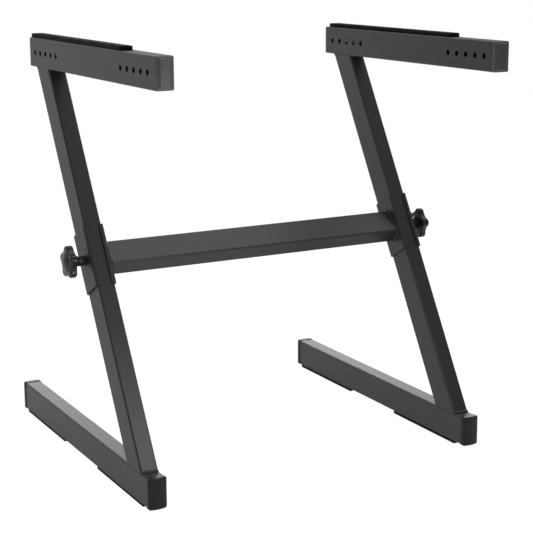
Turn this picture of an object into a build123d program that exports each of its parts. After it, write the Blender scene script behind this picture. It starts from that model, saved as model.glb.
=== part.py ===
from build123d import *
from math import cos, radians, sin, tan
import os

# A Z-style keyboard stand. Two side frames, each a foot, a leaning leg and an arm of square tube,
# are joined by one crossbar. A sheet sleeve on each end of the crossbar slides along its leg and is
# held there by the stud of a star knob. Millimetres, +Z up, +X to the right, -Y towards the player.
# The origin is on the floor, under the middle of the stand.

# Tube that every part of the frame is cut from
tube_height = 50.0
tube_width = 30.0
tube_wall = 2.0
tube_corner = 3.0

# Side frames, up to the top of the arms
half_width = 314.0
frame_height = 709.5
leg_lean = 30.5
foot_length = 585.0
arm_length = 533.0
toe_overhang = 31.0
heel_overhang = 34.0

# Rubber strips under the feet and on the arms
foot_pad_width = 24.0
foot_pad_thickness = 6.5
foot_pad_length = 190.0
foot_pad_front_inset = 35.0
foot_pad_rear_inset = 14.0
arm_pad_width = 21.0
arm_pad_thickness = 6.7
arm_pad_length = 392.0
arm_pad_rear_inset = 6.5
arm_pad_outward_shift = 2.0
pad_edge_radius = 1.2

# Rows of holes at both ends of each arm
hole_diameter = 9.5
hole_pitch = 25.0
holes_in_row = 5
hole_inset = 22.5

# Plastic plugs in the tube ends
cap_flange = 5.0
cap_edge = 1.6
cap_joint = 0.5
arm_bevel_inset = 3.0
arm_panel_width = 14.5
arm_panel_height = 41.0
arm_panel_rise = 1.5
foot_cap_flange = 8.0
foot_cap_bulge = 3.0
foot_cap_edge = 1.5
foot_cap_lip = 1.0
plug_depth = 16.0
plug_wall = 2.0
plug_fin_count = 2
plug_fin_thickness = 1.2
plug_fin_height = 1.6
plug_clearance = 0.05

# Weld beads, which narrow to a thin toe on the tube
bead_size = 4.0
bead_side = 0.6
bead_toe = 0.2

# Clamp sleeves, bent from sheet, with their middle this far up the front of the leg
clamp_distance = 365.0
sleeve_length = 103.0
sleeve_wall = 2.5
sleeve_gap = 0.4
sleeve_bend = 2.2
sleeve_lip = 8.0
lip_corner = 3.0

# Crossbar: its broad face is turned up from the front by this angle above the horizontal
crossbar_tilt = 54.0
crossbar_bead = 3.0

# Knobs and their threaded bosses
boss_diameter = 16.5
boss_length = 12.6
boss_chamfer = 0.8
stud_diameter = 8.0
stud_clearance = 0.05
stud_tip_gap = 0.25
stud_chamfer = 1.0
washer_thickness = 1.2
washer_gap = 0.3
washer_inset = 0.5
knob_diameter = 55.0
knob_lobes = 5
knob_valley_radius = 21.5
knob_valley_curve = 19.2
knob_lobe_round = 6.0
knob_rim = 12.5
knob_dome = 4.5
knob_dome_diameter = 37.0
knob_edge = 2.2
knob_reach = 33.0
knob_hub_diameter = 27.0
knob_hub_depth = 3.5
knob_insert_depth = 4.0

# How far each knob's first lobe is turned up from the rear
knob_turn = {"left": 14.0, "right": 26.0}

# Slack for picking out edges, and how far a drill runs past a wall
tolerance = 0.01
drill_overrun = 1.0

# Places that follow from the sizes above
lean = radians(leg_lean)
foot_top = foot_pad_thickness + tube_height
arm_bottom = frame_height - tube_height
leg_rise = arm_bottom - foot_top
leg_run = leg_rise * tan(lean)
leg_cut_depth = tube_height / cos(lean)
arm_front_from_toe = toe_overhang + leg_run + leg_cut_depth + heel_overhang - arm_length
stand_depth = foot_length - arm_front_from_toe
arm_front = -stand_depth / 2
arm_rear = arm_front + arm_length
foot_front = arm_front - arm_front_from_toe
foot_rear = foot_front + foot_length
arm_cap_depth = cap_flange + arm_panel_rise
foot_cap_depth = foot_cap_flange + foot_cap_bulge
arm_middle = arm_bottom + tube_height / 2
foot_middle = foot_pad_thickness + tube_height / 2
leg_bottom_y = foot_front + toe_overhang + leg_cut_depth / 2

along_leg = Vector(0, sin(lean), cos(lean))
out_of_leg_front = Vector(0, -cos(lean), sin(lean))
leg_foot_point = Vector(0, foot_front + toe_overhang, foot_top)
clamp_point = leg_foot_point + along_leg * clamp_distance - out_of_leg_front * (tube_height / 2)

sleeve_half_width = tube_width / 2 + sleeve_gap + sleeve_wall
sleeve_half_depth = tube_height / 2 + sleeve_gap + sleeve_wall
tube_centre_x = half_width - tube_width / 2
crossbar_half_length = tube_centre_x - sleeve_half_width
sleeve_face_x = tube_centre_x + sleeve_half_width
neck_start = boss_length + washer_thickness + 2 * washer_gap
stud_bore_diameter = stud_diameter + 2 * stud_clearance

sides = {"left": -1, "right": 1}


def tube_outline():
    return RectangleRounded(tube_width, tube_height, tube_corner)


def tube_bore():
    """The bore's corners are left square: in rolled tube their radius is too small to see."""
    return Rectangle(tube_width - 2 * tube_wall, tube_height - 2 * tube_wall)


def straight_tube(x, y_start, y_end, z_middle):
    """A tube that runs front to back."""
    end = Plane(origin=(x, y_start, z_middle), x_dir=(1, 0, 0), z_dir=(0, 1, 0))
    return extrude(end * (tube_outline() - tube_bore()), y_end - y_start)


def leg_plane(x):
    """A plane square to the leg at the clamp, with its own Y pointing out of the leg's rear face."""
    return Plane(origin=(x, clamp_point.Y, clamp_point.Z), x_dir=(1, 0, 0), z_dir=along_leg)


def between_foot_and_arm(x):
    """The space above the foot and below the arm, as a cutting box."""
    return Pos(x, 0, foot_top + leg_rise / 2) * Box(4 * tube_width, 3 * stand_depth, leg_rise)


def leg_solid(x, section):
    """A bar of the given section along the leg, cut level at both ends."""
    reach = leg_rise / cos(lean)
    bar = extrude(leg_plane(x) * section, reach, both=True)
    return bar & between_foot_and_arm(x)


def foot_tube(x):
    return straight_tube(x, foot_front + foot_cap_depth, foot_rear - foot_cap_depth, foot_middle)


def hole_positions():
    """Y places of both rows of holes in an arm."""
    tube_front = arm_front + arm_cap_depth
    tube_rear = arm_rear - arm_cap_depth
    steps = [hole_inset + hole_pitch * k for k in range(holes_in_row)]
    return [tube_front + step for step in steps] + [tube_rear - step for step in steps]


def arm_tube(x):
    tube = straight_tube(x, arm_front + arm_cap_depth, arm_rear - arm_cap_depth, arm_middle)
    for y in hole_positions():
        tube -= Pos(x, y, arm_middle) * Rot(0, 90, 0) * Cylinder(hole_diameter / 2, 2 * tube_width)
    return tube


def leg_tube(x):
    return leg_solid(x, tube_outline()) - leg_solid(x, tube_bore())


def plug():
    """The hollow, finned part of an end cap, pushed down into the tube from the XY plane."""
    inner_width = tube_width - 2 * tube_wall - 2 * plug_clearance
    inner_height = tube_height - 2 * tube_wall - 2 * plug_clearance
    core_width = inner_width - 2 * plug_fin_height
    core_height = inner_height - 2 * plug_fin_height
    hollow = Rectangle(core_width - 2 * plug_wall, core_height - 2 * plug_wall)
    body = extrude(Rectangle(core_width, core_height) - hollow, -plug_depth)
    spacing = plug_depth / (plug_fin_count + 1)
    fin = Rectangle(inner_width, inner_height) - hollow
    for k in range(plug_fin_count):
        body += Pos(0, 0, -spacing * (k + 1)) * extrude(fin, -plug_fin_thickness)
    return body


def arm_cap():
    """Cap with a bevelled raised panel; its plane Z points out of the tube."""
    flange = extrude(tube_outline(), cap_flange)
    flange = chamfer(flange.faces().sort_by(Axis.Z)[-1].outer_wire().edges(), cap_edge)
    flange = chamfer(flange.faces().sort_by(Axis.Z)[0].outer_wire().edges(), cap_joint)
    foot_outline = Rectangle(tube_width - 2 * arm_bevel_inset, tube_height - 2 * arm_bevel_inset)
    foot = Plane.XY.offset(cap_flange) * foot_outline
    top = Plane.XY.offset(cap_flange + arm_panel_rise) * Rectangle(arm_panel_width, arm_panel_height)
    return flange + loft([foot.face(), top.face()]) + plug()


def foot_cap():
    """Cap a little larger than the tube, whose front swells like a barrel with an upright axis."""
    half = tube_width / 2 + foot_cap_lip
    height = tube_height + 2 * foot_cap_lip
    outline = Polyline((half, foot_cap_flange), (half, 0), (-half, 0), (-half, foot_cap_flange))
    swell = ThreePointArc((-half, foot_cap_flange), (0, foot_cap_depth), (half, foot_cap_flange))
    barrel = extrude(Plane.XZ * make_face(outline + swell), height / 2, both=True)
    flange = barrel & extrude(RectangleRounded(2 * half, height, tube_corner + foot_cap_lip), foot_cap_depth)
    front = flange.faces().filter_by(GeomType.CYLINDER).sort_by(SortBy.AREA)[-1]
    flange = chamfer(front.outer_wire().edges(), foot_cap_edge)
    return flange + plug()


def tube_end(x, y, z, outward):
    """The plane on a tube's open end, facing out of it."""
    return Plane(origin=(x, y, z), x_dir=(1, 0, 0), z_dir=(0, outward, 0))


def leg_end_bead(x, at_foot):
    """Weld bead round the leg where it stands on the foot, or where it meets the arm."""
    z = foot_top if at_foot else arm_bottom
    up = 1 if at_foot else -1
    y = leg_bottom_y if at_foot else leg_bottom_y + leg_run
    wide = Plane((x, y, z)) * Rectangle(tube_width + 2 * bead_side, leg_cut_depth + 2 * bead_size)
    narrow_y = y + up * bead_size * tan(lean)
    narrow_plane = Plane((x, narrow_y, z + up * bead_size))
    narrow = narrow_plane * Rectangle(tube_width + bead_toe, leg_cut_depth + 2 * bead_toe)
    bead = loft([wide.face(), narrow.face()])
    fill_box = Box(tube_width + 2 * bead_side, leg_cut_depth, tube_corner)
    corner_fill = Pos(x, y, z - up * tube_corner / 2) * fill_box
    tube_z = foot_middle if at_foot else arm_middle
    level = Plane(origin=(x, foot_front, tube_z), x_dir=(1, 0, 0), z_dir=(0, 1, 0))
    level_bar = extrude(level * tube_outline(), 2 * stand_depth, both=True)
    return (bead + (corner_fill - level_bar)) - leg_solid(x, tube_outline())


def strip(x, y_start, y_end, z_start, z_end, width):
    """A rubber strip with its long edges rounded on the side away from the tube."""
    length = y_end - y_start
    middle = Pos(x, (y_start + y_end) / 2, (z_start + z_end) / 2)
    body = middle * Box(width, length, abs(z_end - z_start))
    free_edges = [e for e in body.edges().filter_by(Axis.Y) if abs(e.center().Z - z_end) < tolerance]
    return fillet(free_edges, pad_edge_radius)


def foot_pad(x, front):
    if front:
        start = foot_front + foot_pad_front_inset
        return strip(x, start, start + foot_pad_length, foot_pad_thickness, 0, foot_pad_width)
    end = foot_rear - foot_pad_rear_inset
    return strip(x, end - foot_pad_length, end, foot_pad_thickness, 0, foot_pad_width)


def arm_pad(x, side):
    end = arm_rear - arm_pad_rear_inset
    middle = x + side * arm_pad_outward_shift
    top = frame_height + arm_pad_thickness
    return strip(middle, end - arm_pad_length, end, frame_height, top, arm_pad_width)


def sleeve(x):
    """Sheet channel round the leg, with two lips turned in over the leg's front face."""
    inner_width = 2 * (sleeve_half_width - sleeve_wall)
    inner_depth = 2 * (sleeve_half_depth - sleeve_wall)
    outer = RectangleRounded(2 * sleeve_half_width, 2 * sleeve_half_depth, sleeve_bend + sleeve_wall)
    inner = RectangleRounded(inner_width, inner_depth, sleeve_bend)
    ring = extrude(leg_plane(x) * (outer - inner), sleeve_length / 2, both=True)
    mouth_width = 2 * (sleeve_half_width - sleeve_lip)
    front = leg_plane(x).location * Pos(0, -sleeve_half_depth, 0)
    channel = ring - front * Box(mouth_width, 4 * sleeve_wall, 2 * sleeve_length)
    return round_lip_corners(channel, x)


def round_lip_corners(channel, x):
    """Rounds the four free corners of the two lips."""
    local = leg_plane(x)
    mouth = sleeve_half_width - sleeve_lip
    lip_back = sleeve_wall - sleeve_half_depth
    lip_corner_edges = []
    for edge in channel.edges():
        centre = local.to_local_coords(edge.center())
        at_mouth = abs(abs(centre.X) - mouth) < tolerance
        at_end = abs(abs(centre.Z) - sleeve_length / 2) < tolerance
        if at_mouth and at_end and centre.Y < lip_back:
            lip_corner_edges.append(edge)
    return fillet(lip_corner_edges, lip_corner)


def crossbar_plane(x):
    """A plane square to the crossbar, with its own X along the broad face."""
    tilt = radians(crossbar_tilt)
    across = (0, sin(tilt), cos(tilt))
    return Plane(origin=(x, clamp_point.Y, clamp_point.Z), x_dir=across, z_dir=(1, 0, 0))


def crossbar_tube():
    section = Rot(0, 0, 90) * (tube_outline() - tube_bore())
    return extrude(crossbar_plane(0) * section, crossbar_half_length, both=True)


def crossbar_end_bead(side):
    """Weld bead round the end of the crossbar, against the sleeve."""
    end = side * crossbar_half_length
    back = side * (crossbar_half_length - crossbar_bead)
    wide_size = (tube_height + 2 * crossbar_bead, tube_width + 2 * crossbar_bead)
    narrow_size = (tube_height + 2 * bead_toe, tube_width + 2 * bead_toe)
    wide = crossbar_plane(end) * RectangleRounded(*wide_size, tube_corner + crossbar_bead)
    narrow = crossbar_plane(back) * RectangleRounded(*narrow_size, tube_corner + bead_toe)
    bar_hole = extrude(crossbar_plane(end) * Rot(0, 0, 90) * tube_outline(), 2 * crossbar_bead, both=True)
    return loft([wide.face(), narrow.face()]) - bar_hole


def knob_axis(side, reach):
    """A plane on the knob's axis, this far out of the sleeve, with its Z pointing outwards."""
    origin = (side * (sleeve_face_x + reach), clamp_point.Y, clamp_point.Z)
    return Plane(origin=origin, x_dir=(0, 1, 0), z_dir=(side, 0, 0))


def round_bar(side, start, end, diameter):
    return extrude(knob_axis(side, start) * Circle(diameter / 2), end - start)


def boss(side):
    """Threaded bush, welded to the sleeve's outer wall."""
    body = round_bar(side, 0, boss_length, boss_diameter)
    rim = body.faces().sort_by(Axis.X)[-1 if side > 0 else 0].edges()
    body = chamfer(rim, boss_chamfer)
    return body - round_bar(side, -drill_overrun, boss_length + drill_overrun, stud_bore_diameter)


def bored_sleeve(x, side):
    """The sleeve with the stud's hole through its outer wall."""
    return sleeve(x) - round_bar(side, -2 * sleeve_wall, drill_overrun, stud_bore_diameter)


def washer(side):
    ring = Circle(boss_diameter / 2 - washer_inset) - Circle(stud_bore_diameter / 2)
    return extrude(knob_axis(side, boss_length + washer_gap) * ring, washer_thickness)


def knob_outline(turn):
    """A round disc with an even ring of hollows cut into its rim."""
    hollow_centre = knob_valley_radius + knob_valley_curve
    start = 180 / knob_lobes
    outline = Circle(knob_diameter / 2)
    outline -= PolarLocations(hollow_centre, knob_lobes, start_angle=start) * Circle(knob_valley_curve)
    return Rot(0, 0, turn) * fillet(outline.vertices(), knob_lobe_round)


def knob_face_dome():
    """The part of a ball that stands out of the knob's face."""
    radius = ((knob_dome_diameter / 2) ** 2 + knob_dome ** 2) / (2 * knob_dome)
    ball = Pos(0, 0, knob_rim + knob_dome - radius) * Sphere(radius)
    return ball & Pos(0, 0, knob_rim + knob_dome / 2) * Box(knob_diameter, knob_diameter, knob_dome)


def knob_head(side, turn):
    """Star head with a dome in the middle, a cone on its back and a neck down to the washer."""
    back = knob_reach - knob_rim
    head = extrude(knob_outline(side * turn), knob_rim)
    flat_faces = head.faces().filter_by(Axis.Z)
    head = chamfer(flat_faces.edges(), knob_edge) + knob_face_dome()
    hub = Pos(0, 0, -knob_hub_depth / 2) * Cone(boss_diameter / 2, knob_hub_diameter / 2, knob_hub_depth)
    neck_length = back - knob_hub_depth - neck_start
    neck = Pos(0, 0, -knob_hub_depth - neck_length / 2) * Cylinder(boss_diameter / 2, neck_length)
    bore_length = neck_length + knob_hub_depth + knob_insert_depth
    bore = Pos(0, 0, knob_insert_depth - bore_length / 2) * Cylinder(stud_diameter / 2, bore_length)
    return knob_axis(side, back).location * (head + hub + neck - bore)


def stud(side):
    """Threaded rod moulded into the knob, with its tip just off the leg."""
    inner_end = -(sleeve_gap + sleeve_wall) + stud_tip_gap
    outer_end = knob_reach - knob_rim + knob_insert_depth
    rod = round_bar(side, inner_end, outer_end, stud_diameter)
    tip = rod.faces().sort_by(Axis.X)[0 if side > 0 else -1].edges()
    return chamfer(tip, stud_chamfer)


def frame_pieces(name, side):
    """Everything that is fixed to one side frame."""
    x = side * tube_centre_x
    arm_tube_front = arm_front + arm_cap_depth
    arm_tube_rear = arm_rear - arm_cap_depth
    foot_tube_front = foot_front + foot_cap_depth
    foot_tube_rear = foot_rear - foot_cap_depth
    return {
        f"{name}_foot_tube": foot_tube(x),
        f"{name}_leg_tube": leg_tube(x),
        f"{name}_arm_tube": arm_tube(x),
        f"{name}_foot_weld": leg_end_bead(x, True),
        f"{name}_arm_weld": leg_end_bead(x, False),
        f"{name}_arm_front_cap": tube_end(x, arm_tube_front, arm_middle, -1).location * arm_cap(),
        f"{name}_arm_rear_cap": tube_end(x, arm_tube_rear, arm_middle, 1).location * arm_cap(),
        f"{name}_foot_front_cap": tube_end(x, foot_tube_front, foot_middle, -1).location * foot_cap(),
        f"{name}_foot_rear_cap": tube_end(x, foot_tube_rear, foot_middle, 1).location * foot_cap(),
        f"{name}_arm_pad": arm_pad(x, side),
        f"{name}_foot_front_pad": foot_pad(x, True),
        f"{name}_foot_rear_pad": foot_pad(x, False),
    }


def clamp_pieces(name, side):
    """The sleeve, boss and knob at one end of the crossbar."""
    return {
        f"{name}_sleeve": bored_sleeve(side * tube_centre_x, side),
        f"{name}_crossbar_weld": crossbar_end_bead(side),
        f"{name}_clamp_boss": boss(side),
        f"{name}_knob_washer": washer(side),
        f"{name}_knob_stud": stud(side),
        f"{name}_knob_head": knob_head(side, knob_turn[name]),
    }


pieces = {"crossbar_tube": crossbar_tube()}
for side_name, side_sign in sides.items():
    pieces.update(frame_pieces(side_name, side_sign))
    pieces.update(clamp_pieces(side_name, side_sign))

os.makedirs("parts", exist_ok=True)
for piece_name, piece in pieces.items():
    export_step(piece, f"parts/{piece_name}.step")
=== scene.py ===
"""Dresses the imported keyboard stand: coats, welds, pads, knobs, threads and the studio round it."""

import math

import bmesh
import bpy
from mathutils import Matrix, Vector


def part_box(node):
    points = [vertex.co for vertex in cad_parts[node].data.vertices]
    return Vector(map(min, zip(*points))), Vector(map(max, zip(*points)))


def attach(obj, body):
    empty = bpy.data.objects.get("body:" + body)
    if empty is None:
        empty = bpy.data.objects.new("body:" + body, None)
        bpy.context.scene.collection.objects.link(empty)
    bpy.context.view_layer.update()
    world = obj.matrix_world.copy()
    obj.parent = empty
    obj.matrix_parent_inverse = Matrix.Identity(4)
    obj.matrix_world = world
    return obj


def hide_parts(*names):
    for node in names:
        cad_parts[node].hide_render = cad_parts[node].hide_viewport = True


bl_info = {
    "name": "Keyboard Stand Finish",
    "version": (1, 0, 0),
    "blender": (4, 5, 0),
    "location": "View3D > Sidebar > Stand",
    "description": "Coats, welds, pads, knobs and studio for a Z-style keyboard stand",
    "category": "Object",
}

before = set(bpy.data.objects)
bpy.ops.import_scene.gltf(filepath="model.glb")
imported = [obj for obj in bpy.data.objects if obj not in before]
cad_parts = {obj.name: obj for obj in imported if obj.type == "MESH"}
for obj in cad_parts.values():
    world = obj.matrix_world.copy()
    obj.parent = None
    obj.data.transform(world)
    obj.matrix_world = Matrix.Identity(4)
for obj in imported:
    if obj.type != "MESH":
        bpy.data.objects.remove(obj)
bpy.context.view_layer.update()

SIDES = {"left": -1.0, "right": 1.0}
CROSSBAR_BODY = "crossbar_assembly"
FULL_TURN = 2 * math.pi

# Sizes of the frame that the added pieces are laid against, in metres
TUBE_HALF_WIDTH = 0.015
TUBE_HALF_HEIGHT = 0.025
TUBE_CORNER = 0.003
LEG_LEAN = math.radians(30.5)
CROSSBAR_TILT = math.radians(54.0)
STUD_RADIUS = 0.004

# How close two coordinates count as the same, and the straight left in a nearly round outline
TIGHT = 0.00001
NEARLY_ROUND = 0.00001

# Slow waves along beads and foam strips: height, radians per metre and start
BEAD_WANDER = ((0.05, 310.0, 0.0), (0.04, 127.0, 1.3))
FOAM_WAVES = ((0.00006, 95.0, 0.0), (0.00005, 41.0, 0.7))

# One turn of thread: share of its depth, and share of its pitch
THREAD_PROFILE = ((0.0, 0.0), (0.0, 0.15), (1.0, 0.45), (1.0, 0.62), (0.0, 0.92), (0.0, 1.0))

# The sky dims beyond this much sideways, and towards the front
SKY_SIDES = {"From Min": 0.34, "From Max": 0.62}
SKY_SIDE_SHARE = 0.5
SKY_FRONT = {"From Min": -0.7, "From Max": 0.0, "To Min": 0.22, "To Max": 1.0}


# Settings


class CoatSettings(bpy.types.PropertyGroup):
    """Powder coat of the tubes and sleeves."""

    colour: bpy.props.FloatVectorProperty(
        name="Colour", description="Powder coat colour", subtype="COLOR", size=3,
        default=(0.012, 0.012, 0.0123), min=0.0, max=1.0)
    roughness: bpy.props.FloatProperty(
        name="Roughness", description="Mean roughness of the satin coat", default=0.33, min=0.0, max=1.0)
    gloss: bpy.props.FloatProperty(
        name="Gloss", description="Specular level of the coat", default=0.40, min=0.0, max=1.0)
    peel_height: bpy.props.FloatProperty(
        name="Peel height", description="Depth of the orange peel", default=0.000008, unit="LENGTH")
    edge_radius: bpy.props.FloatProperty(
        name="Edge radius", description="How far the coat softens cut edges", default=0.0006, unit="LENGTH")


class PlasticSettings(bpy.types.PropertyGroup):
    """Caps, knobs and washers."""

    cap_colour: bpy.props.FloatVectorProperty(
        name="Cap colour", description="Plastic of the end caps", subtype="COLOR", size=3,
        default=(0.075, 0.075, 0.076), min=0.0, max=1.0)
    knob_colour: bpy.props.FloatVectorProperty(
        name="Knob colour", description="Plastic of the star knobs", subtype="COLOR", size=3,
        default=(0.013, 0.013, 0.014), min=0.0, max=1.0)
    grain_height: bpy.props.FloatProperty(
        name="Grain height", description="Depth of the mould grain", default=0.00002, unit="LENGTH")


class PadSettings(bpy.types.PropertyGroup):
    """Rubber strips on the arms and under the feet."""

    colour: bpy.props.FloatVectorProperty(
        name="Colour", description="Foam rubber colour", subtype="COLOR", size=3,
        default=(0.0085, 0.0085, 0.009), min=0.0, max=1.0)
    edge_round: bpy.props.FloatProperty(
        name="Edge round", description="Rounding of the long free edges", default=0.0013, unit="LENGTH")
    end_round: bpy.props.FloatProperty(
        name="End round", description="Rounding of the cut ends", default=0.0004, unit="LENGTH")
    crown: bpy.props.FloatProperty(
        name="Crown", description="How far the middle of a strip stands above its edges",
        default=0.0003, unit="LENGTH")
    fill: bpy.props.FloatProperty(
        name="Fill", description="How full and tight the foam is", default=0.95, min=0.0, max=1.0)
    drop: bpy.props.FloatProperty(
        name="Drop", description="How far the free face stays inside the strip's box",
        default=0.00011, unit="LENGTH")


class WeldSettings(bpy.types.PropertyGroup):
    """Beads where the tubes, sleeves and bosses meet."""

    ripple_pitch: bpy.props.FloatProperty(
        name="Ripple pitch", description="Distance between ripples", default=0.0021, unit="LENGTH")
    ripple_depth: bpy.props.FloatProperty(
        name="Ripple depth", description="Swell of a ripple as a share of the bead", default=0.16)
    step: bpy.props.FloatProperty(
        name="Step", description="Length of one face along a bead", default=0.0006, unit="LENGTH")
    frame_bead: bpy.props.FloatProperty(
        name="Frame bead", description="Radius of the beads before and behind the legs",
        default=0.0034, unit="LENGTH")
    side_bead: bpy.props.FloatProperty(
        name="Side bead", description="Radius of the beads at the legs' flush sides",
        default=0.0012, unit="LENGTH")
    sink: bpy.props.FloatProperty(
        name="Sink", description="How far the beads round the legs lie into the legs' faces",
        default=0.0009, unit="LENGTH")
    crossbar_bead: bpy.props.FloatProperty(
        name="Crossbar bead", description="Radius of the beads at the crossbar's ends",
        default=0.0026, unit="LENGTH")
    boss_bead: bpy.props.FloatProperty(
        name="Boss bead", description="Radius of the beads round the bosses", default=0.0016, unit="LENGTH")


class StudSettings(bpy.types.PropertyGroup):
    """Threads of the clamp studs."""

    pitch: bpy.props.FloatProperty(
        name="Pitch", description="Thread pitch", default=0.00125, unit="LENGTH")
    depth: bpy.props.FloatProperty(
        name="Depth", description="Thread depth", default=0.0007, unit="LENGTH")
    tip_chamfer: bpy.props.FloatProperty(
        name="Tip chamfer", description="Chamfer at the stud's tip", default=0.001, unit="LENGTH")
    steps: bpy.props.IntProperty(
        name="Steps", description="Faces round one turn of the thread", default=24, min=8)


class StageSettings(bpy.types.PropertyGroup):
    """Floor, lamps and camera."""

    camera_place: bpy.props.FloatVectorProperty(
        name="Camera", description="Camera position", subtype="XYZ", unit="LENGTH", size=3,
        default=(-1.1364, -2.1557, 0.8571))
    camera_azimuth: bpy.props.FloatProperty(
        name="Azimuth", description="How far the camera looks to the right of straight back",
        default=math.radians(28.38987), subtype="ANGLE")
    camera_tilt: bpy.props.FloatProperty(
        name="Tilt", description="How far the camera looks up",
        default=math.radians(-12.03556), subtype="ANGLE")
    camera_roll: bpy.props.FloatProperty(
        name="Roll", description="How far the camera leans",
        default=math.radians(-0.27124), subtype="ANGLE")
    lens: bpy.props.FloatProperty(
        name="Lens", description="Focal length in millimetres on a 36 mm sensor", default=95.4)
    shift: bpy.props.FloatVectorProperty(
        name="Shift", description="Shift of the lens that frames the photograph", size=2,
        default=(0.0082, -0.0310))
    floor_radius: bpy.props.FloatProperty(
        name="Floor radius", description="Radius of the round floor", default=2.6, unit="LENGTH")
    floor_drop: bpy.props.FloatProperty(
        name="Floor drop", description="Gap between the floor and the foam strips",
        default=0.0002, unit="LENGTH")
    floor_glow: bpy.props.FloatProperty(
        name="Floor glow", description="Strength of the floor's white where it is seen", default=1.06)
    floor_share: bpy.props.FloatProperty(
        name="Floor share", description="How much of the seen floor is plain white, not lit", default=0.92)
    floor_colour: bpy.props.FloatVectorProperty(
        name="Floor colour", description="Colour of the floor", subtype="COLOR", size=3,
        default=(0.82, 0.82, 0.82), min=0.0, max=1.0)
    sky: bpy.props.FloatProperty(
        name="Sky", description="Strength of the light from all round", default=1.0, min=0.0)
    lamp_power: bpy.props.FloatProperty(
        name="Lamps", description="Common factor on the studio lamps", default=1.0, min=0.0)


# Shader groups


def new_node(tree, kind, place, values=None, **attributes):
    """Adds a node, sets its attributes and the named or numbered inputs."""
    node = tree.nodes.new(kind)
    node.location = place
    for key, value in attributes.items():
        setattr(node, key, value)
    for key, value in (values or {}).items():
        node.inputs[key].default_value = value
    return node


def new_group(name, inputs, outputs):
    """A shader group with float or vector inputs and outputs."""
    group = bpy.data.node_groups.new(name, "ShaderNodeTree")
    for label, kind, value in inputs:
        socket = group.interface.new_socket(name=label, in_out="INPUT", socket_type=kind)
        if value is not None:
            socket.default_value = value
    for label, kind in outputs:
        group.interface.new_socket(name=label, in_out="OUTPUT", socket_type=kind)
    start = new_node(group, "NodeGroupInput", (-900, 0))
    end = new_node(group, "NodeGroupOutput", (900, 0))
    return group, start, end


def surface_grain_group():
    """Fine relief with slow mottling over it, for coats, plastic and rubber."""
    group, start, end = new_group(
        "Surface Grain",
        [("Vector", "NodeSocketVector", None), ("Grain Scale", "NodeSocketFloat", 700.0),
         ("Mottle Scale", "NodeSocketFloat", 14.0), ("Softness", "NodeSocketFloat", 0.5)],
        [("Height", "NodeSocketFloat"), ("Mottle", "NodeSocketFloat")])
    links = group.links
    fine = new_node(group, "ShaderNodeTexNoise", (-600, 200), {"Detail": 2.0})
    broad = new_node(group, "ShaderNodeTexNoise", (-600, -60), {"Detail": 3.0})
    links.new(start.outputs["Vector"], fine.inputs["Vector"])
    links.new(start.outputs["Grain Scale"], fine.inputs["Scale"])
    links.new(start.outputs["Softness"], fine.inputs["Roughness"])
    links.new(start.outputs["Vector"], broad.inputs["Vector"])
    links.new(start.outputs["Mottle Scale"], broad.inputs["Scale"])
    mottle = new_node(group, "ShaderNodeMapRange", (-300, -60), {"From Min": 0.3, "From Max": 0.7})
    links.new(broad.outputs["Fac"], mottle.inputs["Value"])
    links.new(fine.outputs["Fac"], end.inputs["Height"])
    links.new(mottle.outputs["Result"], end.inputs["Mottle"])
    return group


def edge_wear_group():
    """Picks out corners and rims, broken up by noise."""
    group, start, end = new_group(
        "Edge Wear",
        [("Vector", "NodeSocketVector", None), ("Radius", "NodeSocketFloat", 0.001),
         ("Break Up", "NodeSocketFloat", 90.0)],
        [("Mask", "NodeSocketFloat")])
    links = group.links
    rounded = new_node(group, "ShaderNodeBevel", (-650, 200), samples=4)
    links.new(start.outputs["Radius"], rounded.inputs["Radius"])
    flat = new_node(group, "ShaderNodeNewGeometry", (-650, 0))
    agree = new_node(group, "ShaderNodeVectorMath", (-420, 120), operation="DOT_PRODUCT")
    links.new(rounded.outputs["Normal"], agree.inputs[0])
    links.new(flat.outputs["Normal"], agree.inputs[1])
    turned = new_node(group, "ShaderNodeMapRange", (-200, 120), {"From Min": 0.995, "From Max": 0.86})
    links.new(agree.outputs["Value"], turned.inputs["Value"])
    patches = new_node(group, "ShaderNodeTexNoise", (-650, -220), {"Detail": 4.0, "Roughness": 0.65})
    links.new(start.outputs["Vector"], patches.inputs["Vector"])
    links.new(start.outputs["Break Up"], patches.inputs["Scale"])
    broken = new_node(group, "ShaderNodeMapRange", (-200, -160), {"From Min": 0.42, "From Max": 0.66})
    links.new(patches.outputs["Fac"], broken.inputs["Value"])
    mask = new_node(group, "ShaderNodeMath", (80, 60), operation="MULTIPLY")
    links.new(turned.outputs["Result"], mask.inputs[0])
    links.new(broken.outputs["Result"], mask.inputs[1])
    links.new(mask.outputs["Value"], end.inputs["Mask"])
    return group


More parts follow.
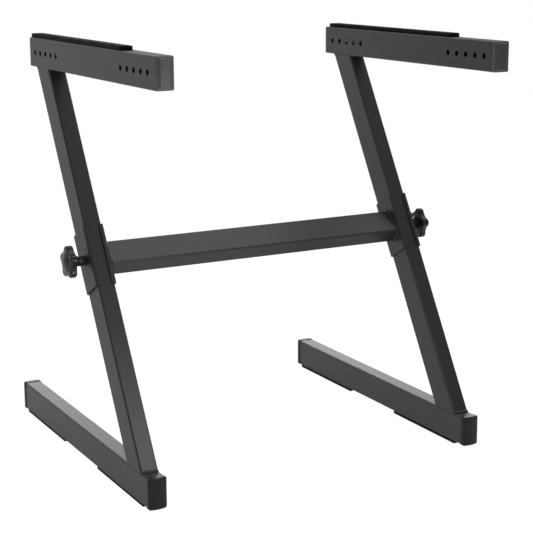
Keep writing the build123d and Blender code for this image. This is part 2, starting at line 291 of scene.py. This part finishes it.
def settled_dust_group():
    """A thin film of dust and wiping marks on what faces up."""
    group, start, end = new_group(
        "Settled Dust",
        [("Vector", "NodeSocketVector", None), ("Scale", "NodeSocketFloat", 40.0)],
        [("Mask", "NodeSocketFloat")])
    links = group.links
    facing = new_node(group, "ShaderNodeNewGeometry", (-650, 150))
    parts = new_node(group, "ShaderNodeSeparateXYZ", (-450, 150))
    links.new(facing.outputs["Normal"], parts.inputs["Vector"])
    up = new_node(group, "ShaderNodeMapRange", (-240, 150), {"From Min": 0.2, "From Max": 1.0})
    links.new(parts.outputs["Z"], up.inputs["Value"])
    specks = new_node(group, "ShaderNodeTexNoise", (-650, -120), {"Detail": 6.0, "Roughness": 0.7})
    links.new(start.outputs["Vector"], specks.inputs["Vector"])
    links.new(start.outputs["Scale"], specks.inputs["Scale"])
    film = new_node(group, "ShaderNodeMapRange", (-240, -120), {"From Min": 0.35, "From Max": 0.8})
    links.new(specks.outputs["Fac"], film.inputs["Value"])
    mask = new_node(group, "ShaderNodeMath", (60, 40), operation="MULTIPLY")
    links.new(up.outputs["Result"], mask.inputs[0])
    links.new(film.outputs["Result"], mask.inputs[1])
    links.new(mask.outputs["Value"], end.inputs["Mask"])
    return group


def shared_group(name):
    """The named group, built on first use."""
    builders = {
        "Surface Grain": surface_grain_group,
        "Edge Wear": edge_wear_group,
        "Settled Dust": settled_dust_group,
    }
    return bpy.data.node_groups.get(name) or builders[name]()


# Materials


def place_group(tree, name, place, vector, values):
    node = new_node(tree, "ShaderNodeGroup", place, node_tree=shared_group(name))
    for key, value in values.items():
        node.inputs[key].default_value = value
    tree.links.new(vector, node.inputs["Vector"])
    return node


def mix_colours(tree, place, factor, first, second):
    """A colour mix whose factor is a socket; each colour is a socket or a plain value."""
    mix = new_node(tree, "ShaderNodeMix", place, data_type="RGBA")
    tree.links.new(factor, mix.inputs["Factor"])
    for socket, colour in ((mix.inputs[6], first), (mix.inputs[7], second)):
        if isinstance(colour, bpy.types.NodeSocket):
            tree.links.new(colour, socket)
        else:
            socket.default_value = (*colour, 1.0)
    return mix.outputs[2]


def shade(colour, factor):
    return tuple(channel * factor for channel in colour)


def finished_material(
        name, colour, *, roughness, spread, gloss, grain, mottle, relief, edge, worn, dusty):
    """Satin, moulded or rubbery black with grain, mottling, worn edges and dust.

    grain and mottle are scales per metre, relief and edge are lengths, spread is how far the
    roughness wanders, worn and dusty are the colours of rubbed corners and of the dust film.
    """
    material = bpy.data.materials.new(name)
    material.use_nodes = True
    tree = material.node_tree
    links = tree.links
    shader = tree.nodes["Principled BSDF"]
    shader.inputs["Specular IOR Level"].default_value = gloss
    place = new_node(tree, "ShaderNodeTexCoord", (-1300, 0)).outputs["Object"]
    skin = place_group(tree, "Surface Grain", (-1050, 250), place,
                       {"Grain Scale": grain, "Mottle Scale": mottle})
    wear = place_group(tree, "Edge Wear", (-1050, 0), place, {"Radius": edge * 1.6})
    dust = place_group(tree, "Settled Dust", (-1050, -250), place, {})
    base = mix_colours(tree, (-750, 300), skin.outputs["Mottle"], shade(colour, 0.86), shade(colour, 1.14))
    rubbed = mix_colours(tree, (-500, 260), wear.outputs["Mask"], base, worn)
    dusted = mix_colours(tree, (-250, 220), dust.outputs["Mask"], rubbed, dusty)
    links.new(dusted, shader.inputs["Base Color"])
    rough = new_node(tree, "ShaderNodeMapRange", (-500, 0),
                     {"To Min": roughness - spread, "To Max": roughness + spread})
    links.new(skin.outputs["Mottle"], rough.inputs["Value"])
    links.new(rough.outputs["Result"], shader.inputs["Roughness"])
    rounded = new_node(tree, "ShaderNodeBevel", (-500, -260), {"Radius": edge}, samples=4)
    bump = new_node(tree, "ShaderNodeBump", (-250, -200), {"Strength": 1.0, "Distance": relief})
    links.new(skin.outputs["Height"], bump.inputs["Height"])
    links.new(rounded.outputs["Normal"], bump.inputs["Normal"])
    links.new(bump.outputs["Normal"], shader.inputs["Normal"])
    return material


def powder_coat():
    s = bpy.context.scene.stand_coat
    return finished_material(
        "black_powder_coat", s.colour, roughness=s.roughness, spread=0.035, gloss=s.gloss,
        grain=1500.0, mottle=11.0, relief=s.peel_height, edge=s.edge_radius,
        worn=(0.035, 0.035, 0.036), dusty=(0.026, 0.026, 0.026))


def weld_coat():
    s = bpy.context.scene.stand_coat
    return finished_material(
        "coated_weld", shade(s.colour, 0.8), roughness=s.roughness - 0.06, spread=0.05, gloss=s.gloss,
        grain=900.0, mottle=60.0, relief=s.peel_height, edge=s.edge_radius / 2,
        worn=(0.03, 0.03, 0.03), dusty=(0.022, 0.022, 0.022))


def arm_cap_plastic():
    s = bpy.context.scene.stand_plastic
    return finished_material(
        "grained_cap_plastic", s.cap_colour, roughness=0.42, spread=0.03, gloss=0.6,
        grain=1500.0, mottle=30.0, relief=s.grain_height * 1.5, edge=0.0005,
        worn=(0.1, 0.1, 0.101), dusty=(0.08, 0.08, 0.08))


def foot_cap_plastic():
    s = bpy.context.scene.stand_plastic
    # Same plastic as the arm caps, darkened to 7 per cent: painted shade for the dim fronts of the feet
    return finished_material(
        "foot_cap_plastic_painted_shade", shade(s.cap_colour, 0.07), roughness=0.38, spread=0.03, gloss=0.30,
        grain=1500.0, mottle=30.0, relief=s.grain_height, edge=0.0005,
        worn=(0.025, 0.025, 0.026), dusty=(0.02, 0.02, 0.02))


def knob_plastic():
    s = bpy.context.scene.stand_plastic
    return finished_material(
        "moulded_knob_plastic", s.knob_colour, roughness=0.34, spread=0.04, gloss=0.38,
        grain=1300.0, mottle=45.0, relief=s.grain_height, edge=0.0006,
        worn=(0.03, 0.03, 0.032), dusty=(0.022, 0.022, 0.024))


def washer_nylon():
    s = bpy.context.scene.stand_plastic
    return finished_material(
        "washer_nylon", shade(s.knob_colour, 0.7), roughness=0.45, spread=0.03, gloss=0.4,
        grain=1600.0, mottle=80.0, relief=s.grain_height, edge=0.0002,
        worn=(0.02, 0.02, 0.02), dusty=(0.016, 0.016, 0.016))


def pad_rubber():
    """Closed-cell foam rubber: dull, finely pitted and a little dusty."""
    s = bpy.context.scene.stand_pads
    material = finished_material(
        "foam_rubber", s.colour, roughness=0.82, spread=0.06, gloss=0.25,
        grain=1100.0, mottle=25.0, relief=0.00006, edge=0.0006,
        worn=(0.016, 0.016, 0.016), dusty=(0.017, 0.017, 0.017))
    tree = material.node_tree
    bump = next(node for node in tree.nodes if node.bl_idname == "ShaderNodeBump")
    place = next(node for node in tree.nodes if node.bl_idname == "ShaderNodeTexCoord")
    cells = new_node(tree, "ShaderNodeTexVoronoi", (-1050, -520), {"Scale": 1400.0})
    tree.links.new(place.outputs["Object"], cells.inputs["Vector"])
    pits = new_node(tree, "ShaderNodeBump", (0, -320), {"Strength": 0.7, "Distance": 0.00012})
    tree.links.new(cells.outputs["Distance"], pits.inputs["Height"])
    tree.links.new(bump.outputs["Normal"], pits.inputs["Normal"])
    tree.links.new(pits.outputs["Normal"], tree.nodes["Principled BSDF"].inputs["Normal"])
    return material


def zinc_steel():
    """Zinc-plated steel with fine turning marks."""
    material = bpy.data.materials.new("zinc_plated_steel")
    material.use_nodes = True
    tree = material.node_tree
    shader = tree.nodes["Principled BSDF"]
    shader.inputs["Metallic"].default_value = 1.0
    place = new_node(tree, "ShaderNodeTexCoord", (-900, 0)).outputs["Object"]
    skin = place_group(tree, "Surface Grain", (-700, 150), place,
                       {"Grain Scale": 2500.0, "Mottle Scale": 120.0})
    colour = mix_colours(tree, (-400, 200), skin.outputs["Mottle"], (0.42, 0.43, 0.45), (0.6, 0.6, 0.58))
    tree.links.new(colour, shader.inputs["Base Color"])
    rough = new_node(tree, "ShaderNodeMapRange", (-400, -50), {"To Min": 0.26, "To Max": 0.42})
    tree.links.new(skin.outputs["Mottle"], rough.inputs["Value"])
    tree.links.new(rough.outputs["Result"], shader.inputs["Roughness"])
    bump = new_node(tree, "ShaderNodeBump", (-400, -300), {"Strength": 0.5, "Distance": 0.00001})
    tree.links.new(skin.outputs["Height"], bump.inputs["Height"])
    tree.links.new(bump.outputs["Normal"], shader.inputs["Normal"])
    return material


FINISHES = {
    "black_powder_coat": powder_coat,
    "coated_weld": weld_coat,
    "grained_cap_plastic": arm_cap_plastic,
    "foot_cap_plastic_painted_shade": foot_cap_plastic,
    "moulded_knob_plastic": knob_plastic,
    "washer_nylon": washer_nylon,
    "foam_rubber": pad_rubber,
    "zinc_plated_steel": zinc_steel,
}


def finish(name):
    """The named material, made on first use."""
    return bpy.data.materials.get(name) or FINISHES[name]()


def paint_nodes(names, material_name):
    """Gives CAD nodes their material."""
    for name in names:
        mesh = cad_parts[name].data
        mesh.materials.clear()
        mesh.materials.append(finish(material_name))


# Mesh helpers


def new_piece(name, bm, material_name, body):
    """Turns a bmesh, built where it belongs, into a finished piece that rides on a body."""
    bmesh.ops.recalc_face_normals(bm, faces=bm.faces)
    mesh = bpy.data.meshes.new(name)
    for face in bm.faces:
        face.smooth = True
    bm.to_mesh(mesh)
    bm.free()
    mesh.materials.append(finish(material_name))
    piece = bpy.data.objects.new(name, mesh)
    bpy.context.scene.collection.objects.link(piece)
    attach(piece, body)
    return piece


def rounded_rectangle(half_x, half_y, corner, step):
    """Points round a rounded rectangle with the outward direction at each, evenly spaced."""
    straight_x, straight_y = 2 * (half_x - corner), 2 * (half_y - corner)
    arc = corner * math.pi / 2
    runs = [("line", straight_y, 0), ("arc", arc, 0), ("line", straight_x, 1), ("arc", arc, 1),
            ("line", straight_y, 2), ("arc", arc, 2), ("line", straight_x, 3), ("arc", arc, 3)]
    length = sum(run[1] for run in runs)
    count = max(24, round(length / step))
    points = []
    for k in range(count):
        along = length * k / count
        for kind, run, quarter in runs:
            if along <= run:
                break
            along -= run
        turn = Matrix.Rotation(quarter * math.pi / 2, 3, "Z")
        reach_x, reach_y = (half_x, half_y) if quarter % 2 == 0 else (half_y, half_x)
        if kind == "line":
            local, out = Vector((reach_x, -reach_y + corner + along, 0)), Vector((1, 0, 0))
        else:
            angle = along / corner
            out = Vector((math.cos(angle), math.sin(angle), 0))
            local = Vector((reach_x - corner, reach_y - corner, 0)) + out * corner
        points.append((turn @ local, turn @ out, length * k / count))
    return points


def swept_ring(place, points, offset, radius_at, sides=10):
    """A closed bead: a circle carried round the points, with a radius for each."""
    bm = bmesh.new()

    def section(point, out, radius):
        tangent = Vector((0, 0, 1)).cross(out)
        axes = Matrix((out, Vector((0, 0, 1)), -tangent)).transposed().to_4x4()
        return place @ Matrix.Translation(point + out * offset) @ axes @ Matrix.Scale(radius, 4)

    first_point, first_out, first_along = points[0]
    last = section(first_point, first_out, radius_at(first_out, first_along))
    made = bmesh.ops.create_circle(bm, segments=sides, radius=1.0, matrix=last)
    first_edges = list({edge for vert in made["verts"] for edge in vert.link_edges})
    edges = first_edges
    for point, out, along in points[1:]:
        grown = bmesh.ops.extrude_edge_only(bm, edges=edges)["geom"]
        verts = [item for item in grown if isinstance(item, bmesh.types.BMVert)]
        edges = [item for item in grown if isinstance(item, bmesh.types.BMEdge)]
        matrix = section(point, out, radius_at(out, along))
        bmesh.ops.transform(bm, matrix=matrix @ last.inverted(), verts=verts)
        last = matrix
    bmesh.ops.bridge_loops(bm, edges=first_edges + edges)
    return bm


def waves(along, terms):
    """Sum of sine waves, each given as its height, rate and start."""
    return sum(height * math.sin(along * rate + start) for height, rate, start in terms)


def ripple(along):
    """Swell of a bead's ripples at a distance along it, about 1."""
    s = bpy.context.scene.stand_welds
    wave = abs(math.sin(math.pi * along / s.ripple_pitch))
    return 1.0 + s.ripple_depth * (wave - 0.5) + waves(along, BEAD_WANDER)


def cut_half_height():
    """Half the depth of a leg's level cut."""
    return TUBE_HALF_HEIGHT / math.cos(LEG_LEAN)


# Welds


def leg_end_weld(side_name, tube):
    """Bead round a leg where it stands on the foot or meets the arm."""
    s = bpy.context.scene.stand_welds
    node = f"{side_name}_{tube}_weld"
    tube_low, tube_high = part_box(f"{side_name}_{tube}_tube")
    leg_low, leg_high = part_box(f"{side_name}_leg_tube")
    centre_x = (leg_low.x + leg_high.x) / 2
    half_cut = cut_half_height()
    if tube == "foot":
        place = Matrix.Translation((centre_x, leg_low.y + half_cut, tube_high.z))
    else:
        place = Matrix.Translation((centre_x, leg_high.y - half_cut, tube_low.z))
    points = rounded_rectangle(TUBE_HALF_WIDTH, half_cut, TUBE_CORNER, s.step)

    def radius_at(out, along):
        to_the_end = abs(out.y) ** 3
        return (s.side_bead + (s.frame_bead - s.side_bead) * to_the_end) * ripple(along)

    bm = swept_ring(place, points, -s.sink, radius_at)
    piece = new_piece(f"{node}_bead", bm, "coated_weld", f"{side_name}_frame")
    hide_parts(node)


def crossbar_weld(side_name, side):
    """Bead round the crossbar's end, against the sleeve."""
    s = bpy.context.scene.stand_welds
    node = f"{side_name}_crossbar_weld"
    bar_low, bar_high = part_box("crossbar_tube")
    centre = (bar_low + bar_high) / 2
    end_x = bar_high.x if side > 0 else bar_low.x
    across = Vector((0, math.sin(CROSSBAR_TILT), math.cos(CROSSBAR_TILT)))
    outward = Vector((side, 0, 0))
    turn = Matrix((across, outward.cross(across), outward)).transposed().to_4x4()
    place = Matrix.Translation((end_x, centre.y, centre.z)) @ turn
    points = rounded_rectangle(TUBE_HALF_HEIGHT, TUBE_HALF_WIDTH, TUBE_CORNER, s.step)
    bm = swept_ring(place, points, 0.0, lambda out, along: s.crossbar_bead * ripple(along))
    piece = new_piece(f"{node}_bead", bm, "coated_weld", CROSSBAR_BODY)
    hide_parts(node)


def boss_weld(side_name, side):
    """Small bead round a boss, against the sleeve."""
    s = bpy.context.scene.stand_welds
    low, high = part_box(f"{side_name}_clamp_boss")
    centre = (low + high) / 2
    face_x = low.x if side > 0 else high.x
    radius = (high.y - low.y) / 2
    turn = Matrix.Rotation(side * math.pi / 2, 4, "Y")
    place = Matrix.Translation((face_x, centre.y, centre.z)) @ turn
    points = rounded_rectangle(radius, radius, radius - NEARLY_ROUND, s.step)
    bm = swept_ring(place, points, 0.0, lambda out, along: s.boss_bead * ripple(along), sides=8)
    new_piece(f"{side_name}_boss_weld_bead", bm, "coated_weld", CROSSBAR_BODY)


# Pads


def strip_pad(node, body, top_free):
    """A foam strip: long free edges rounded, ends cut square, its face slightly crowned."""
    s = bpy.context.scene.stand_pads
    low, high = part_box(node)
    size, middle = high - low, (low + high) / 2
    bm = bmesh.new()
    matrix = Matrix.Translation(middle) @ Matrix.Diagonal((*size, 1.0))
    bmesh.ops.create_cube(bm, size=1.0, matrix=matrix)
    free_z, fixed_z = (high.z, low.z) if top_free else (low.z, high.z)
    long_edges = [e for e in bm.edges
                  if all(abs(v.co.z - free_z) < TIGHT for v in e.verts)
                  and abs(e.verts[0].co.x - e.verts[1].co.x) < TIGHT]
    bmesh.ops.bevel(bm, geom=long_edges, offset=s.edge_round, segments=4,
                    affect="EDGES", profile=0.5, material=-1)
    end_edges = [e for e in bm.edges
                 if all(abs(abs(v.co.y - middle.y) - size.y / 2) < TIGHT for v in e.verts)
                 and all(abs(v.co.z - fixed_z) > TIGHT for v in e.verts)]
    bmesh.ops.bevel(bm, geom=end_edges, offset=s.end_round, segments=2,
                    affect="EDGES", profile=0.5, material=-1)
    across = [e for e in bm.edges
              if abs(e.verts[0].co.x - e.verts[1].co.x) > size.x / 2
              and abs(e.verts[0].co.z - free_z) < TIGHT]
    bmesh.ops.subdivide_edges(bm, edges=across, cuts=3, use_grid_fill=True)
    lengthwise = [e for e in bm.edges if abs(e.verts[0].co.y - e.verts[1].co.y) > size.y / 2]
    bmesh.ops.subdivide_edges(bm, edges=lengthwise, cuts=40, use_grid_fill=True)
    inward = -1.0 if top_free else 1.0
    for vert in bm.verts:
        if abs(vert.co.z - free_z) < TIGHT:
            side = abs(vert.co.x - middle.x) / (size.x / 2)
            vert.co.z += inward * (s.crown * side * side + s.drop + waves(vert.co.y, FOAM_WAVES))
    piece = new_piece(f"{node}_foam", bm, "foam_rubber", body)
    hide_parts(node)


# Studs


def threaded_stud(side_name, side):
    """Threaded rod with a chamfered tip, in place of the plain one."""
    s = bpy.context.scene.stand_studs
    node = f"{side_name}_knob_stud"
    low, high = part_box(node)
    centre = (low + high) / 2
    inner_x = low.x if side > 0 else high.x
    length = high.x - low.x
    root = STUD_RADIUS - s.depth
    turns = math.ceil(length / s.pitch) + 2
    bm = bmesh.new()
    verts = [bm.verts.new((root + s.depth * rise, 0, (share - 1.5) * s.pitch))
             for rise, share in THREAD_PROFILE]
    edges = [bm.edges.new(pair) for pair in zip(verts, verts[1:])]
    bmesh.ops.spin(bm, geom=verts + edges, cent=(0, 0, 0), axis=(0, 0, 1), angle=FULL_TURN * turns,
                   steps=s.steps * turns, dvec=(0, 0, s.pitch / s.steps), use_duplicate=False)
    bmesh.ops.remove_doubles(bm, verts=bm.verts, dist=s.pitch / 100)
    for plane, keep in ((0.0, -1), (length, 1)):
        cut = bmesh.ops.bisect_plane(bm, geom=bm.verts[:] + bm.edges[:] + bm.faces[:],
                                     plane_co=(0, 0, plane), plane_no=(0, 0, keep), clear_outer=True)
        rim = [item for item in cut["geom_cut"] if isinstance(item, bmesh.types.BMEdge)]
        bmesh.ops.holes_fill(bm, edges=rim)
    for vert in bm.verts:
        reach = math.hypot(vert.co.x, vert.co.y)
        limit = STUD_RADIUS - max(0.0, s.tip_chamfer - vert.co.z)
        if reach > limit > 0:
            vert.co.x *= limit / reach
            vert.co.y *= limit / reach
    turn = Matrix.Rotation(side * math.pi / 2, 4, "Y")
    place = Matrix.Translation((inner_x, centre.y, centre.z)) @ turn
    bmesh.ops.transform(bm, matrix=place, verts=bm.verts)
    piece = new_piece(f"{node}_thread", bm, "zinc_plated_steel", f"{side_name}_knob")
    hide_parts(node)


# Stage


def aim(place, target):
    """Rotation of a lamp at place so that it shines on target."""
    return (Vector(target) - Vector(place)).to_track_quat("-Z", "Y")


def area_lamp(name, place, target, size, power):
    data = bpy.data.lights.new(name, "AREA")
    data.shape = "RECTANGLE"
    data.size, data.size_y = size
    data.energy = power * bpy.context.scene.stand_stage.lamp_power
    lamp = bpy.data.objects.new(name, data)
    lamp.location = place
    lamp.rotation_mode = "QUATERNION"
    lamp.rotation_quaternion = aim(place, target)
    lamp.visible_camera = False
    bpy.context.scene.collection.objects.link(lamp)


def seen_directly(tree, place):
    """1 for rays from the camera or through glass, and less for rays off gloss."""
    path = new_node(tree, "ShaderNodeLightPath", place)
    glossy = new_node(tree, "ShaderNodeMath", (place[0] + 180, place[1] - 160), {1: 0.5},
                      operation="MULTIPLY")
    first = new_node(tree, "ShaderNodeMath", (place[0] + 360, place[1]), operation="MAXIMUM")
    both = new_node(tree, "ShaderNodeMath", (place[0] + 540, place[1]), operation="MAXIMUM")
    tree.links.new(path.outputs["Is Glossy Ray"], glossy.inputs[0])
    tree.links.new(path.outputs["Is Camera Ray"], first.inputs[0])
    tree.links.new(glossy.outputs["Value"], first.inputs[1])
    tree.links.new(first.outputs["Value"], both.inputs[0])
    tree.links.new(path.outputs["Is Transmission Ray"], both.inputs[1])
    return both.outputs["Value"]


def white_sky():
    """A plain world: white where it is seen, softer where it only lights."""
    world = bpy.data.worlds.new("studio")
    world.use_nodes = True
    bpy.context.scene.world = world
    tree = world.node_tree
    background = tree.nodes["Background"]
    background.inputs["Color"].default_value = (1.0, 1.0, 1.0, 1.0)
    sky = bpy.context.scene.stand_stage.sky
    direction = new_node(tree, "ShaderNodeTexCoord", (-900, -400)).outputs["Generated"]
    parts = new_node(tree, "ShaderNodeSeparateXYZ", (-700, -400))
    tree.links.new(direction, parts.inputs["Vector"])
    aside = new_node(tree, "ShaderNodeMath", (-500, -600), operation="ABSOLUTE")
    tree.links.new(parts.outputs["X"], aside.inputs[0])
    middle = new_node(tree, "ShaderNodeMapRange", (-300, -600),
                      {**SKY_SIDES, "To Min": sky, "To Max": sky * SKY_SIDE_SHARE})
    tree.links.new(aside.outputs["Value"], middle.inputs["Value"])
    depth = new_node(tree, "ShaderNodeMapRange", (-500, -400), SKY_FRONT)
    tree.links.new(parts.outputs["Y"], depth.inputs["Value"])
    level = new_node(tree, "ShaderNodeMath", (-300, -400), operation="MULTIPLY")
    tree.links.new(middle.outputs["Result"], level.inputs[0])
    tree.links.new(depth.outputs["Result"], level.inputs[1])
    path = new_node(tree, "ShaderNodeLightPath", (-500, 0))
    seen = new_node(tree, "ShaderNodeMath", (-300, 0), operation="MAXIMUM")
    tree.links.new(path.outputs["Is Camera Ray"], seen.inputs[0])
    tree.links.new(path.outputs["Is Transmission Ray"], seen.inputs[1])
    strength = new_node(tree, "ShaderNodeMix", (-100, -150), {3: 1.0})
    tree.links.new(seen.outputs["Value"], strength.inputs["Factor"])
    tree.links.new(level.outputs["Value"], strength.inputs[2])
    tree.links.new(strength.outputs[0], background.inputs["Strength"])


def studio_floor():
    """A pale floor that shows as white and keeps a trace of the stand's shadow."""
    s = bpy.context.scene.stand_stage
    bm = bmesh.new()
    bmesh.ops.create_circle(bm, cap_ends=True, segments=96, radius=s.floor_radius)
    mesh = bpy.data.meshes.new("floor")
    bm.to_mesh(mesh)
    bm.free()
    material = bpy.data.materials.new("pale_floor")
    material.use_nodes = True
    tree = material.node_tree
    shader = tree.nodes["Principled BSDF"]
    shader.inputs["Base Color"].default_value = (*s.floor_colour, 1.0)
    shader.inputs["Roughness"].default_value = 0.9
    shader.inputs["Specular IOR Level"].default_value = 0.1
    white = new_node(tree, "ShaderNodeEmission", (0, -250), {"Strength": s.floor_glow})
    share = new_node(tree, "ShaderNodeMath", (0, 200), {1: s.floor_share}, operation="MULTIPLY")
    tree.links.new(seen_directly(tree, (-900, 300)), share.inputs[0])
    mix = new_node(tree, "ShaderNodeMixShader", (300, 0))
    tree.links.new(share.outputs["Value"], mix.inputs["Fac"])
    tree.links.new(shader.outputs["BSDF"], mix.inputs[1])
    tree.links.new(white.outputs["Emission"], mix.inputs[2])
    output = tree.nodes["Material Output"]
    tree.links.new(mix.outputs["Shader"], output.inputs["Surface"])
    mesh.materials.append(material)
    floor = bpy.data.objects.new("floor", mesh)
    floor.location.z = -s.floor_drop
    bpy.context.scene.collection.objects.link(floor)


def photo_camera():
    """The camera at the photograph's viewpoint."""
    s = bpy.context.scene.stand_stage
    data = bpy.data.cameras.new("camera")
    data.sensor_width = 36.0
    data.lens = s.lens
    data.shift_x, data.shift_y = s.shift
    data.clip_start, data.clip_end = 0.05, 60.0
    camera = bpy.data.objects.new("camera", data)
    look = Matrix.Rotation(math.pi / 2 + s.camera_tilt, 4, "X") @ Matrix.Rotation(s.camera_roll, 4, "Z")
    turn = Matrix.Rotation(-s.camera_azimuth, 4, "Z")
    camera.matrix_world = Matrix.Translation(s.camera_place) @ turn @ look
    bpy.context.scene.collection.objects.link(camera)
    bpy.context.scene.camera = camera


# Operators


class STAND_OT_coat_frame(bpy.types.Operator):
    """Powder-coat the tubes, sleeves and bosses"""

    bl_idname = "stand.coat_frame"
    bl_label = "Coat Frame"

    def execute(self, context):
        coated = ["crossbar_tube"]
        for side_name in SIDES:
            for part in ("foot_tube", "leg_tube", "arm_tube", "sleeve", "clamp_boss"):
                coated.append(f"{side_name}_{part}")
        paint_nodes(coated, "black_powder_coat")
        return {"FINISHED"}


class STAND_OT_fit_caps(bpy.types.Operator):
    """Give the end caps their plastic, the foot caps a darker copy of it that paints shade"""

    bl_idname = "stand.fit_caps"
    bl_label = "Fit Caps"

    def execute(self, context):
        for tube, material_name in (("arm", "grained_cap_plastic"), ("foot", "foot_cap_plastic_painted_shade")):
            caps = [f"{side_name}_{tube}_{end}_cap" for side_name in SIDES for end in ("front", "rear")]
            paint_nodes(caps, material_name)
        return {"FINISHED"}


class STAND_OT_lay_welds(bpy.types.Operator):
    """Lay rippled beads where the tubes, sleeves and bosses meet"""

    bl_idname = "stand.lay_welds"
    bl_label = "Lay Welds"

    def execute(self, context):
        for side_name, side in SIDES.items():
            leg_end_weld(side_name, "foot")
            leg_end_weld(side_name, "arm")
            crossbar_weld(side_name, side)
            boss_weld(side_name, side)
        return {"FINISHED"}


class STAND_OT_lay_pads(bpy.types.Operator):
    """Lay foam strips on the arms and under the feet"""

    bl_idname = "stand.lay_pads"
    bl_label = "Lay Pads"

    def execute(self, context):
        for side_name in SIDES:
            body = f"{side_name}_frame"
            strip_pad(f"{side_name}_arm_pad", body, True)
            strip_pad(f"{side_name}_foot_front_pad", body, False)
            strip_pad(f"{side_name}_foot_rear_pad", body, False)
        return {"FINISHED"}


class STAND_OT_finish_knobs(bpy.types.Operator):
    """Give the knobs and washers their plastic and cut the studs' threads"""

    bl_idname = "stand.finish_knobs"
    bl_label = "Finish Knobs"

    def execute(self, context):
        paint_nodes([f"{side_name}_knob_head" for side_name in SIDES], "moulded_knob_plastic")
        paint_nodes([f"{side_name}_knob_washer" for side_name in SIDES], "washer_nylon")
        for side_name, side in SIDES.items():
            threaded_stud(side_name, side)
        return {"FINISHED"}


class STAND_OT_set_stage(bpy.types.Operator):
    """Set the pale floor, the studio lamps and the camera"""

    bl_idname = "stand.set_stage"
    bl_label = "Set Stage"

    def execute(self, context):
        context.scene.view_settings.view_transform = "Standard"
        white_sky()
        studio_floor()
        photo_camera()
        area_lamp("lamp_overhead", place=(0.9, 0.1, 2.6), target=(0.0, 0.0, 0.4),
                  size=(2.0, 1.6), power=14.0)
        area_lamp("lamp_behind", place=(0.75, 1.4, 0.48), target=(0.0, 0.0, 0.05),
                  size=(1.8, 0.36), power=9.0)
        area_lamp("lamp_toe", place=(-0.04, -0.75, 0.49), target=(-0.3, -0.24, 0.08),
                  size=(0.12, 0.12), power=1.6)
        return {"FINISHED"}


class STAND_PT_finish(bpy.types.Panel):
    """Lists the steps that dress the stand"""

    bl_idname = "STAND_PT_finish"
    bl_label = "Keyboard Stand"
    bl_space_type = "VIEW_3D"
    bl_region_type = "UI"
    bl_category = "Stand"

    def draw(self, context):
        for operator in OPERATORS:
            self.layout.operator(operator.bl_idname)
        for name in SETTINGS:
            settings = getattr(context.scene, name)
            box = self.layout.box()
            for key in settings.bl_rna.properties.keys():
                if key not in ("rna_type", "name"):
                    box.prop(settings, key)


SETTINGS = {
    "stand_coat": CoatSettings,
    "stand_plastic": PlasticSettings,
    "stand_pads": PadSettings,
    "stand_welds": WeldSettings,
    "stand_studs": StudSettings,
    "stand_stage": StageSettings,
}

OPERATORS = (
    STAND_OT_coat_frame,
    STAND_OT_fit_caps,
    STAND_OT_lay_welds,
    STAND_OT_lay_pads,
    STAND_OT_finish_knobs,
    STAND_OT_set_stage,
)


def register():
    for name, group in SETTINGS.items():
        bpy.utils.register_class(group)
        setattr(bpy.types.Scene, name, bpy.props.PointerProperty(type=group))
    for operator in OPERATORS:
        bpy.utils.register_class(operator)
    bpy.utils.register_class(STAND_PT_finish)


def unregister():
    bpy.utils.unregister_class(STAND_PT_finish)
    for operator in reversed(OPERATORS):
        bpy.utils.unregister_class(operator)
    for name, group in reversed(SETTINGS.items()):
        delattr(bpy.types.Scene, name)
        bpy.utils.unregister_class(group)


def dress_stand():
    register()
    bpy.ops.stand.coat_frame()
    bpy.ops.stand.fit_caps()
    bpy.ops.stand.lay_welds()
    bpy.ops.stand.lay_pads()
    bpy.ops.stand.finish_knobs()
    bpy.ops.stand.set_stage()


if __name__ == "__main__":
    dress_stand()
